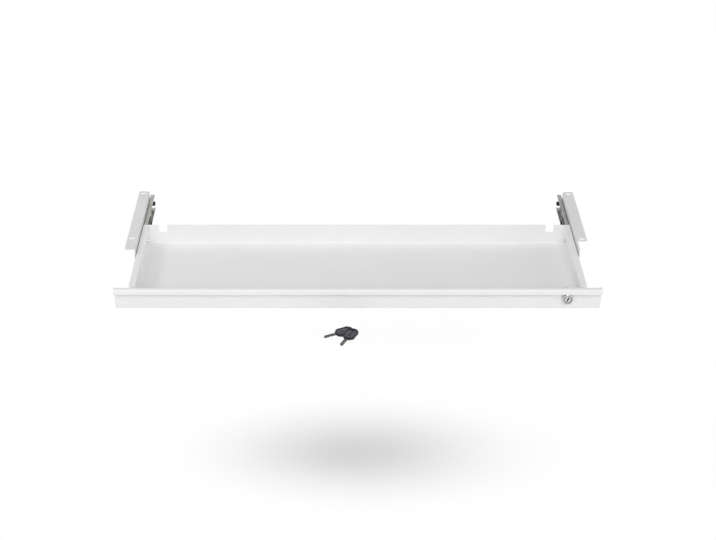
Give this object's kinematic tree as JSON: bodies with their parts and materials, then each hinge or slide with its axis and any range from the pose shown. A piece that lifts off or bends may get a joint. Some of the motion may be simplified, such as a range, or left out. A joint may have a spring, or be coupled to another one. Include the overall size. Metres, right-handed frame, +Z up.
{
  "type": "under-desk drawer safe",
  "caption": "Shallow lockable sheet-steel drawer that hangs under a desk on L brackets and ball slides, with a rolled finger lip and a cam lock.",
  "frame": {"origin": "in the plane of the desk's underside, midway between the two brackets and midway along the fixed slide members", "axes": "+Z up towards the desk, +X to the right seen from the drawer's front, -Y the way that the drawer opens"},
  "size_m": [0.78, 0.4165, 0.0696],
  "materials": {
    "white_powder_coat": "satin white powder coat with a fine orange peel",
    "zinc_plate": "bright zinc plate, rolled",
    "bright_steel": "plated steel",
    "nickel_plate": "polished nickel plate",
    "black_plastic": "moulded",
    "key_plastic": "moulded, fine grain",
    "rubber": "matt"
  },
  "bodies": {
    "brackets": {"left_bracket": "white_powder_coat", "right_bracket": "white_powder_coat", "left_outer_member": "zinc_plate", "right_outer_member": "zinc_plate", "left_rear_stop": "rubber", "right_rear_stop": "rubber", "left_bracket_screw_front": "bright_steel", "left_bracket_screw_rear": "bright_steel", "right_bracket_screw_front": "bright_steel", "right_bracket_screw_rear": "bright_steel", "lower_key_blade": "nickel_plate", "lower_key_head": "key_plastic", "upper_key_blade": "nickel_plate", "upper_key_head": "key_plastic"},
    "drawer": {"tray_floor": "white_powder_coat", "tray_front_wall": "white_powder_coat", "tray_back_wall": "white_powder_coat", "tray_left_wall": "white_powder_coat", "tray_right_wall": "white_powder_coat", "front_panel": "white_powder_coat", "left_inner_member": "zinc_plate", "right_inner_member": "zinc_plate", "left_drawer_screw_front": "bright_steel", "left_drawer_screw_rear": "bright_steel", "right_drawer_screw_front": "bright_steel", "right_drawer_screw_rear": "bright_steel", "lock_barrel": "nickel_plate", "lock_nut": "nickel_plate"},
    "lock_core": {"lock_plug": "nickel_plate", "lock_cam": "zinc_plate", "cam_screw": "bright_steel"},
    "left_middle": {"left_middle_member": "zinc_plate", "left_end_guide": "black_plastic"},
    "right_middle": {"right_middle_member": "zinc_plate", "right_end_guide": "black_plastic"},
    "left_outer_cage": {"left_outer_ball_cage": "bright_steel"},
    "right_outer_cage": {"right_outer_ball_cage": "bright_steel"},
    "left_inner_cage": {"left_inner_ball_cage": "bright_steel"},
    "right_inner_cage": {"right_inner_ball_cage": "bright_steel"}
  },
  "joints": [
    {"name": "drawer_slide", "type": "slide", "parent": "brackets", "child": "drawer", "axis": [0, -1, 0], "range_m": [-0.106, 0.108]},
    {"name": "lock_turn", "type": "hinge", "parent": "drawer", "child": "lock_core", "pos_m": [0.336, -0.218, -0.0294], "axis": [0, 1, 0], "range_deg": [0, 90]},
    {"name": "left_middle_slide", "type": "slide", "parent": "brackets", "child": "left_middle", "axis": [0, -1, 0], "range_m": [-0.053, 0.054]},
    {"name": "right_middle_slide", "type": "slide", "parent": "brackets", "child": "right_middle", "axis": [0, -1, 0], "range_m": [-0.053, 0.054]},
    {"name": "left_outer_cage_slide", "type": "slide", "parent": "brackets", "child": "left_outer_cage", "axis": [0, -1, 0], "range_m": [-0.0265, 0.027]},
    {"name": "right_outer_cage_slide", "type": "slide", "parent": "brackets", "child": "right_outer_cage", "axis": [0, -1, 0], "range_m": [-0.0265, 0.027]},
    {"name": "left_inner_cage_slide", "type": "slide", "parent": "brackets", "child": "left_inner_cage", "axis": [0, -1, 0], "range_m": [-0.0795, 0.081]},
    {"name": "right_inner_cage_slide", "type": "slide", "parent": "brackets", "child": "right_inner_cage", "axis": [0, -1, 0], "range_m": [-0.0795, 0.081]}
  ],
  "couplings": [
    {"joint": "left_middle_slide", "follows": "drawer_slide", "ratio": 0.5},
    {"joint": "right_middle_slide", "follows": "drawer_slide", "ratio": 0.5},
    {"joint": "left_outer_cage_slide", "follows": "drawer_slide", "ratio": 0.25},
    {"joint": "right_outer_cage_slide", "follows": "drawer_slide", "ratio": 0.25},
    {"joint": "left_inner_cage_slide", "follows": "drawer_slide", "ratio": 0.75},
    {"joint": "right_inner_cage_slide", "follows": "drawer_slide", "ratio": 0.75}
  ]
}
